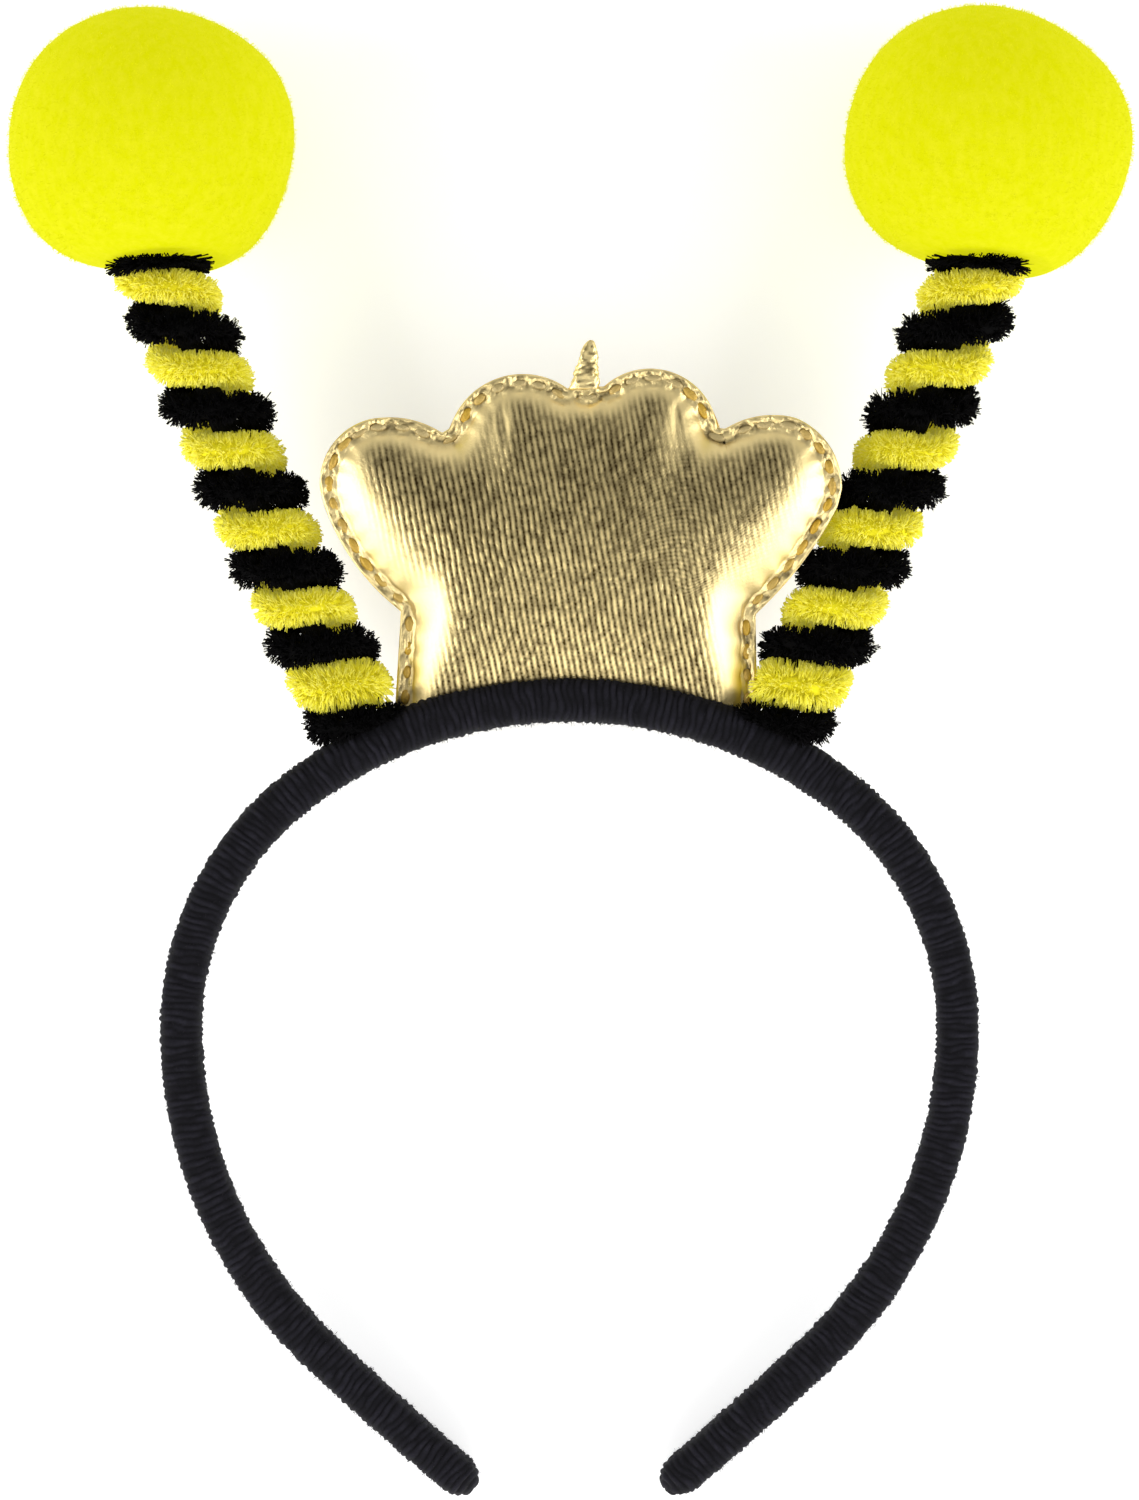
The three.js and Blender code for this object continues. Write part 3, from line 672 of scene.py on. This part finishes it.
def strand_line(side, strand, turns):
    """Middle line of a strand at a number of turns, and the way out from the post there: a helix that drifts
    outwards as it rises over the front. Its lower turns droop on their outer side, and its turns may close
    up below the ball."""
    closed_up = strand["closing"] * np.maximum(0, turns - CLOSING_TURN) ** 1.5
    angle = 2 * np.pi * (0.25 - turns + strand["phase"])
    droop = COIL_DROOP * (1 + np.cos(angle)) / 2 * (1 - eased(turns, 3, 6))
    middle, lean = stalk_line(side, COIL_START + COIL_LEAD * turns - closed_up - droop)
    out = (side * np.cos(lean) * np.cos(angle), -np.sin(lean) * np.cos(angle), np.sin(angle))
    out = np.stack(out, axis=-1)
    return middle + strand["turn_radius"] * out, out


def strand_point(side, strand, turns, around, radius):
    """Points at an angle round a strand and a distance from its middle line, on its normal and the cross
    way."""
    middle, out = strand_line(side, strand, turns)
    ahead = unit(strand_line(side, strand, turns + 0.002)[0] - middle)
    out = unit(out - (out * ahead).sum(-1, keepdims=True) * ahead)
    aside = np.cross(ahead, out)
    return middle + radius[..., None] * (np.cos(around)[..., None] * out + np.sin(around)[..., None] * aside)


def unpressed(strand, turns):
    """Share of its thickness that a strand keeps at a number of turns, less where the ball presses it."""
    return 1 - strand["pressed"] * eased(turns, 5.45, 5.75)


def off_seat(points):
    """The same points, with those inside the band's top moved straight out to it. In front of the band and
    behind it they may hang lower."""
    beside = eased(np.abs(points[..., 2]), BAND_HALF_DEPTH - 1, BAND_HALF_DEPTH + 1)
    shaded = PILE_SINK + PILE_HANG * beside
    rise = SEAT_RADIUS - shaded - np.hypot(points[..., 0], points[..., 1] - SEAT_CENTRE)
    away = points[..., :2] - (0, SEAT_CENTRE)
    moved = points[..., :2] + np.maximum(rise, 0)[..., None] * unit(away)
    return np.concatenate([moved, points[..., 2:]], axis=-1)


def in_crown(points):
    """Whether points lie in the crown's sewn edge or too near beside it: a line across from a point inside
    crosses the edge an odd number of times."""
    flat = points[..., :2]
    low, high = edge.min(0) - CLEAR_OF_CROWN, edge.max(0) + CLEAR_OF_CROWN
    inside = np.zeros(len(points), bool)
    near = np.all((flat > low) & (flat < high), axis=-1)
    crossings = np.zeros(near.sum(), int)
    ring = np.concatenate([edge[::3], edge[-1:], edge[:1]])
    x, y = flat[near].T
    for (x0, y0), (x1, y1) in zip(ring[:-1], ring[1:]):
        spans = (y0 > y) != (y1 > y)
        crossings += spans & (x < x0 + (y - y0) * (x1 - x0) / (y1 - y0 if y1 != y0 else 1))
    inside[near] = (crossings % 2 == 1) | (nearest_on(edge[::3], flat[near])[0] < CLEAR_OF_CROWN)
    return inside & (np.abs(points[..., 2] - height_on_seat(flat) * CROWN_LEAN) < EDGE_HALF + 0.9)


def chenille(name, side, strand, finish, slot, seed):
    """One strand: its yarn, a tube round the middle line, and the fibres of its pile, gathered in tufts. A
    tuft reaches its own distance, one limit away from the post and another along it, which is larger on a
    fuller lowest turn and less where the ball presses it. Fibres stop at the post and the band, and the
    crown's edge and the ball press some away."""
    random = np.random.default_rng(seed)
    rows, columns = 400, 10
    turns = np.linspace(strand["first"], strand["last"], rows)[:, None] + np.zeros((1, columns))
    around = np.linspace(0, 2 * np.pi, columns, endpoint=False)[None] + np.zeros((rows, 1))
    yarn = strand_point(side, strand, turns, around, YARN_RADIUS * unpressed(strand, turns))
    yarn = off_seat(yarn).reshape(-1, 3)
    yarn = np.concatenate([yarn, [yarn[:columns].mean(0), yarn[-columns:].mean(0)]])

    tufts = strand["tufts"]
    tuft = random.integers(0, tufts, FIBRES)
    turns = random.uniform(strand["first"], strand["last"], tufts)[tuft]
    around = random.uniform(0, 2 * np.pi, tufts)[tuft]
    left = unpressed(strand, turns)
    uneven = strand["shag"] * (random.gamma(1.6, 1, tufts) - 1)[tuft] + 0.08 * random.normal(0, 1, FIBRES)
    along = strand["along"] * left * (1 + strand["fuller"] * (1 - eased(turns, 0.65, 0.95)))
    tall = np.hypot(strand["out"] * np.cos(around), along * np.sin(around)) + left * uneven
    inwards = np.maximum(-np.cos(around), 0.05)
    to_post = (strand["turn_radius"] - POST_RADIUS) / inwards
    tall = np.minimum(tall, np.where(inwards > 0.05, to_post, 99))
    spread = random.normal(0, 0.5, (2, FIBRES))
    roots = strand_point(side, strand, turns + spread[0] / TURN_LENGTH, around + spread[1], PILE_ROOT * left)
    spread = random.normal(0, 0.2, (2, FIBRES))
    tall = np.maximum(tall, PILE_LEAST * left)
    tips = strand_point(side, strand, turns + spread[0] / TURN_LENGTH, around + spread[1] / 3, tall)
    roots, tips = off_seat(roots), off_seat(tips)
    under_ball = tips[:, 1] < stalk_line(side, np.array(STALK_TOP))[0][1] + PILE_OVER_TOP
    kept = (np.linalg.norm(tips - roots, axis=1) > FIBRE_SHORTEST) & under_ball & ~in_crown(tips)
    half_width = random.uniform(*FIBRE_HALF_WIDTH, kept.sum())
    points, faces = fibres(roots[kept], tips[kept], half_width, seed + 1)
    shade = np.append(np.full(len(yarn), 0.5), np.repeat(random.uniform(0, 1, kept.sum()), 4))
    rise = np.append(np.full(len(yarn), 0.1), np.tile((0.0, 0.0, 1.0, 1.0), kept.sum()))
    new_piece(
        name, np.concatenate([yarn, points]), [*skin_faces(rows, columns), faces + len(yarn)], finish, slot,
        [name.replace("pile", "chenille")], rise=rise, shade=shade,
    )


black_finish, wire, surface = new_finish("black_pile", Roughness=0.8, Specular_IOR_Level=0.04)
shade = wire.kept("shade")
# The black pile is painted darker at its roots than at its tips: painted shade. A few fibre tips are painted
# pale grey: painted glints.
pile = wire.blend(wire.kept("rise") * shade, (0.0008, 0.0007, 0.0008), (0.003, 0.0027, 0.003))
tip = wire.maths("GREATER_THAN", wire.kept("rise"), 0.9)
glint = wire.maths("GREATER_THAN", shade, GLINT_ABOVE) * tip
wire.feed(surface["Base Color"], wire.blend(glint, pile, (0.12, 0.12, 0.12)))
# The yellow pile is painted darker at its roots than at its tips: painted shade. It also glows with the same
# colour: painted light that stands in for light scattered through the pile.
yellow_finish, wire, surface = new_finish(
    "yellow_pile", Roughness=0.85, Specular_IOR_Level=0.1, Emission_Strength=0.25
)
pile = wire.blend(wire.kept("shade"), (0.74, 0.67, 0.025), (0.86, 0.79, 0.13))
pile = wire.blend(wire.kept("rise"), (0.62, 0.56, 0.008), pile)
wire.feed(surface["Base Color"], pile)
wire.feed(surface["Emission Color"], pile)

for name, side in SIDES.items():
    chenille(f"{name}_black_pile", side, STRANDS["black"], black_finish, "black_chenille", 50 + side)
    chenille(f"{name}_yellow_pile", side, STRANDS["yellow"], yellow_finish, "yellow_chenille", 60 + side)

# Balls: foam in a close cover of fluorescent yellow fleece, a little lumpy, pressed flat on the top of the
# coils. The fleece is brushed, so its edge is soft, and its knit shows as faint upright flecks.
BALL_CENTRE = (71.4, 152.9, -5.0)
BALL_RADIUS = 23.95
BALL_OVER_COIL = 0.6
# Number of the waves round a ball's outline, their height, and their angle in degrees.
BALL_LUMPS = {
    "left": ((2, 0.78, -7), (3, 0.21, -91), (4, 0.5, 144), (5, 0.21, 71)),
    "right": ((2, 0.71, -26), (3, 0.17, -115), (4, 0.43, 98), (5, 0.19, 13)),
}
FUZZ = 9000
FUZZ_HALF_WIDTH = 0.05
FUZZ_ROOT, FUZZ_TIP = -0.2, (0.2, 0.6)


def ball_centre(side):
    """Middle of a ball."""
    return np.array(BALL_CENTRE) * (side, 1, 1)


def to_coil(side):
    """The way from the middle of a ball to the top of its post, where the coil ends."""
    return stalk_line(side, np.array(STALK_TOP))[0] - ball_centre(side)


def ball_skin(name, side, ways, proud):
    """Points of a ball's cover on ways out from its middle: a round ball with waves round its outline, which
    fade to its front and back, and a flat that comes a little way over the coil."""
    rim, turn = np.hypot(ways[..., 0], ways[..., 1]), np.arctan2(ways[..., 1], ways[..., 0])
    radius = BALL_RADIUS + proud
    for waves, size, phase in BALL_LUMPS[name]:
        radius = radius + size * rim**waves * np.cos(waves * turn - np.radians(phase))
    facing = ways @ unit(to_coil(side))
    flat = np.linalg.norm(to_coil(side)) + BALL_OVER_COIL
    radius = np.where(facing * radius > flat, flat / np.maximum(facing, 0.1), radius)
    return ball_centre(side) + radius[..., None] * ways


def fleece(ways):
    """How far the fleece stands proud: grains of two sizes, worked out over three faces of a box and
    summed."""
    x, y, z = np.moveaxis(ways * BALL_RADIUS, -1, 0)
    coarse = mottle(x / 2.3 + z / 3, y / 2.3, 71) + mottle(z / 2.3, y / 2.3 + x / 3, 72)
    fine = mottle(x / 0.9 + z, y / 1.1, 73) + mottle(z / 0.9, y / 1.1 + x, 74)
    return 0.04 * coarse + 0.025 * fine


# The fleece glows with its own yellow: painted light that stands in for its fluorescence and evens out its
# shading.
ball_finish, wire, surface = new_finish(
    "yellow_fleece", Roughness=0.95, Specular_IOR_Level=0.04, Emission_Strength=0.67
)
flecks = 0.65 * wire.grain(1.5, 2.0, (1, 0.5, 1)) + 0.35 * wire.grain(0.6, 2.0)
flecks = wire.node("ShaderNodeMapRange", {}, {"Value": flecks, "From Min": 0.38, "From Max": 0.68})
wire.feed(surface["Base Color"], wire.blend(flecks, (0.19, 0.195, 0.0004), (0.215, 0.21, 0.003)))
wire.feed(surface["Emission Color"], wire.blend(flecks, (0.83, 0.84, 0.0005), (0.87, 0.86, 0.012)))
wire.feed(surface["Normal"], wire.bumps(wire.grain(0.5, 3.0), 0.06))

rows, columns = 120, 240
for name, side in SIDES.items():
    pole = unit(to_coil(side))
    level = unit(np.cross(pole, (0, 0, 1.0)))
    third = np.cross(level, pole)
    drop = np.linspace(0, np.pi, rows + 2)[1:-1, None, None]
    turn = np.linspace(0, 2 * np.pi, columns, endpoint=False)[None, :, None]
    ways = np.cos(drop) * pole + np.sin(drop) * (np.cos(turn) * level + np.sin(turn) * third)
    points = ball_skin(name, side, ways, fleece(ways)).reshape(-1, 3)
    poles = ball_skin(name, side, np.stack([pole, -pole]), np.zeros(2))
    ball = new_piece(
        f"{name}_fleece_ball", np.concatenate([points, poles]), skin_faces(rows, columns), ball_finish,
        "ball_fleece", [f"{name}_ball"],
    )
    random = np.random.default_rng(80 + side)
    ways = unit(random.normal(size=(FUZZ, 3)))
    ways = ways[ways @ pole < 0.8]
    roots = ball_skin(name, side, ways, np.full(len(ways), FUZZ_ROOT))
    ways = unit(ways + random.normal(0, 0.012, ways.shape))
    tips = ball_skin(name, side, ways, random.uniform(*FUZZ_TIP, len(ways)))
    points, faces = fibres(roots, tips, FUZZ_HALF_WIDTH, 90 + side)
    new_piece(f"{name}_ball_fuzz", points, [faces], ball_finish, "ball_fleece", smooth=False)

# Studio: a plain pale floor, a sky that is brighter at the horizon than overhead, soft lights low on all
# four sides, the left and right ones strongest, and a camera square to the headband's front.
floor_finish, _, surface = new_finish("pale_floor", Roughness=0.9, Emission_Strength=0.3)
for key in ("Base Color", "Emission Color"):
    surface[key].default_value = (0.93, 0.93, 0.93, 1)
floor_mesh = bpy.data.meshes.new("floor")
floor_mesh.from_pydata([(-4, -4, 0), (4, -4, 0), (4, 4, 0), (-4, 4, 0)], [], [(0, 1, 2, 3)])
floor_mesh.materials.append(floor_finish)
floor = bpy.data.objects.new("floor", floor_mesh)
bpy.context.scene.collection.objects.link(floor)

SKY_OVERHEAD, SKY_HORIZON = 0.44, 0.75
world = bpy.context.scene.world or bpy.data.worlds.new("studio")
bpy.context.scene.world = world
world.use_nodes = True
sky = Wire(world.node_tree)
height = sky.node("ShaderNodeTexCoord", output="Generated")
height = sky.node("ShaderNodeSeparateXYZ", {}, {"Vector": height}, output="Z")
glow = sky.maths("POWER", 1 - sky.maths("ABSOLUTE", height), 2.5)
background = world.node_tree.nodes["Background"].inputs
background["Color"].default_value = (1, 1, 1, 1)
sky.feed(background["Strength"], SKY_OVERHEAD + (SKY_HORIZON - SKY_OVERHEAD) * glow)


def soft_light(name, place, width, height, radiance):
    """A rectangular light at a place, turned to the middle of the headband. Its power is its radiance times
    its area and the number pi."""
    light = bpy.data.lights.new(name, "AREA")
    light.shape = "RECTANGLE"
    light.size, light.size_y, light.energy = width, height, radiance * np.pi * width * height
    made = bpy.data.objects.new(name, light)
    bpy.context.scene.collection.objects.link(made)
    made.location = place
    away = np.array(place) - (0, 0, 0.02)
    made.rotation_mode = "QUATERNION"
    made.rotation_quaternion = Vector(away).to_track_quat("Z", "Y")


LIGHTS = {
    "left_light": {"place": (-0.8, -0.32, 0.45), "width": 1.1, "height": 0.7, "radiance": 4.2},
    "right_light": {"place": (0.8, -0.32, 0.45), "width": 1.1, "height": 0.7, "radiance": 4.2},
    "foot_light": {"place": (0, -1.0, 0.48), "width": 1.0, "height": 0.5, "radiance": 2.0},
    "top_light": {"place": (0, 1.0, 0.5), "width": 1.3, "height": 0.5, "radiance": 0.5},
}
for name, light in LIGHTS.items():
    soft_light(name, **light)

VIEW_UP = 49.33
VIEW_HEIGHT = 255.2
VIEW_DISTANCE = 1600.0
SENSOR = 36
camera_data = bpy.data.cameras.new("camera")
camera_data.sensor_width = SENSOR
camera_data.lens = SENSOR * VIEW_DISTANCE / VIEW_HEIGHT
camera = bpy.data.objects.new("camera", camera_data)
bpy.context.scene.collection.objects.link(camera)
place = np.eye(4)
place[:3, :3] = np.stack([ACROSS, UP, FORWARDS], axis=1)
place[:3, 3] = laid(np.array((0, VIEW_UP, VIEW_DISTANCE)))
camera.matrix_world = Matrix(place.tolist())
bpy.context.scene.camera = camera
bpy.context.scene.view_settings.view_transform = "Standard"
